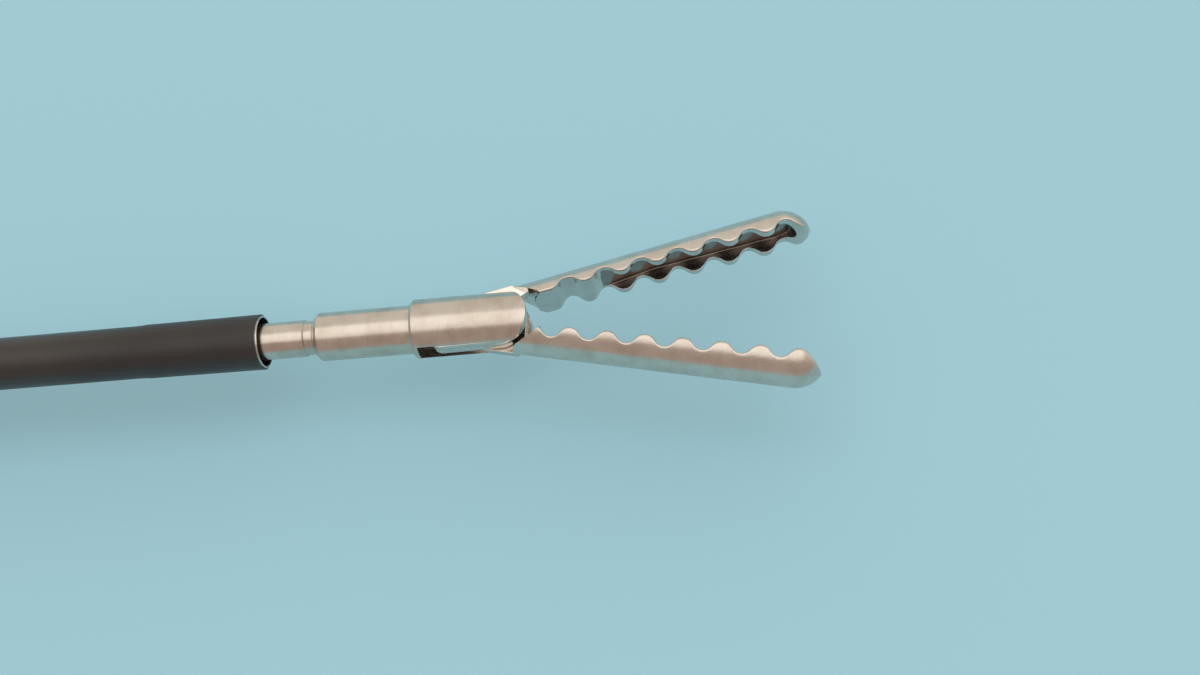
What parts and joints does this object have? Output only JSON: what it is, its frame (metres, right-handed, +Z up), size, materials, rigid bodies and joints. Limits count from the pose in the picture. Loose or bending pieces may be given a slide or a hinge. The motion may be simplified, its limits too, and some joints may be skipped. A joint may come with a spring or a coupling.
{
  "type": "laparoscopic grasper",
  "caption": "Slim laparoscopic grasper: wave-toothed hollow jaws in a slotted fork, insulated shaft drawn back from it, rotation knob, ring handle with ratchet.",
  "frame": {"origin": "on the shaft's axis where its slim insulated length starts, 1 mm ahead of the rotation knob", "axes": "+X along the shaft towards the jaws; +Z up, along the axis of the jaw, lever and catch hinges, with the instrument lying on its side; the grips reach to -Y"},
  "size_m": [0.435, 0.1165, 0.019],
  "materials": {
    "jaw_steel": "satin",
    "satin_steel": "satin",
    "pin_steel": "polished",
    "tube_steel": "satin",
    "shaft_insulation": "satin",
    "knob_plastic": "satin",
    "seal_rubber": "matte",
    "handle_plastic": "satin",
    "contact_brass": "polished"
  },
  "bodies": {
    "root": {"handle_shell_upper": "handle_plastic", "handle_shell_lower": "handle_plastic", "lever_pivot_screw": "pin_steel", "lever_pivot_nut": "pin_steel", "shell_screws": "pin_steel", "catch_pin": "pin_steel", "hf_connector": "contact_brass", "hf_collar": "knob_plastic", "hf_contact": "contact_brass", "flush_port": "satin_steel", "catch_spring": "pin_steel"},
    "rotor": {"jaw_fork": "satin_steel", "jaw_pivot_pin": "pin_steel", "insert_body": "satin_steel", "inner_tube": "satin_steel", "rotation_knob": "knob_plastic", "knob_core": "tube_steel", "shaft_seal": "seal_rubber"},
    "outer_tube": {"shaft_tube": "tube_steel", "shaft_socket": "tube_steel", "shaft_insulation": "shaft_insulation", "latch_collar": "tube_steel"},
    "pull_rod": {"pull_rod": "pin_steel", "rod_ball": "pin_steel", "drive_pin": "pin_steel"},
    "jaw_upper": {"jaw_upper": "jaw_steel"},
    "jaw_lower": {"jaw_lower": "jaw_steel"},
    "thumb_lever": {"thumb_lever": "handle_plastic", "ratchet_rack": "satin_steel", "rack_pin": "pin_steel"},
    "ratchet_catch": {"ratchet_catch": "satin_steel"},
    "tube_lock": {"tube_lock": "tube_steel"},
    "flush_cap": {"flush_cap": "seal_rubber"}
  },
  "joints": [
    {"name": "shaft_rotation", "type": "hinge", "parent": "root", "child": "rotor", "pos_m": [0, 0, 0], "axis": [1, 0, 0], "continuous": true},
    {"name": "tube_slide", "type": "slide", "parent": "rotor", "child": "outer_tube", "axis": [1, 0, 0], "range_m": [0, 0.0128]},
    {"name": "lever_hinge", "type": "hinge", "parent": "root", "child": "thumb_lever", "pos_m": [-0.058, -0.00576, 0], "axis": [0, 0, 1], "range_deg": [-13.9, 10]},
    {"name": "rod_slide", "type": "slide", "parent": "rotor", "child": "pull_rod", "axis": [1, 0, 0], "range_m": [-0.00101, 0.0014]},
    {"name": "jaw_upper_hinge", "type": "hinge", "parent": "rotor", "child": "jaw_upper", "pos_m": [0.3001, 0, 0], "axis": [0, 0, 1], "range_deg": [-12.8, 17.8]},
    {"name": "jaw_lower_hinge", "type": "hinge", "parent": "rotor", "child": "jaw_lower", "pos_m": [0.3001, 0, 0], "axis": [0, 0, 1], "range_deg": [-17.8, 12.8]},
    {"name": "catch_hinge", "type": "hinge", "parent": "root", "child": "ratchet_catch", "pos_m": [-0.03601, -0.037, 0], "axis": [0, 0, -1], "range_deg": [0, 9.5]},
    {"name": "lock_slide", "type": "slide", "parent": "rotor", "child": "tube_lock", "axis": [0, -1, 0], "range_m": [0, 0.001]},
    {"name": "cap_slide", "type": "slide", "parent": "root", "child": "flush_cap", "axis": [0, 1, 0], "range_m": [0, 0.006]}
  ],
  "couplings": [
    {"joint": "rod_slide", "follows": "lever_hinge", "m_per_rad": -0.00576},
    {"joint": "jaw_upper_hinge", "follows": "lever_hinge", "ratio": -1.28},
    {"joint": "jaw_lower_hinge", "follows": "lever_hinge", "ratio": 1.28}
  ]
}
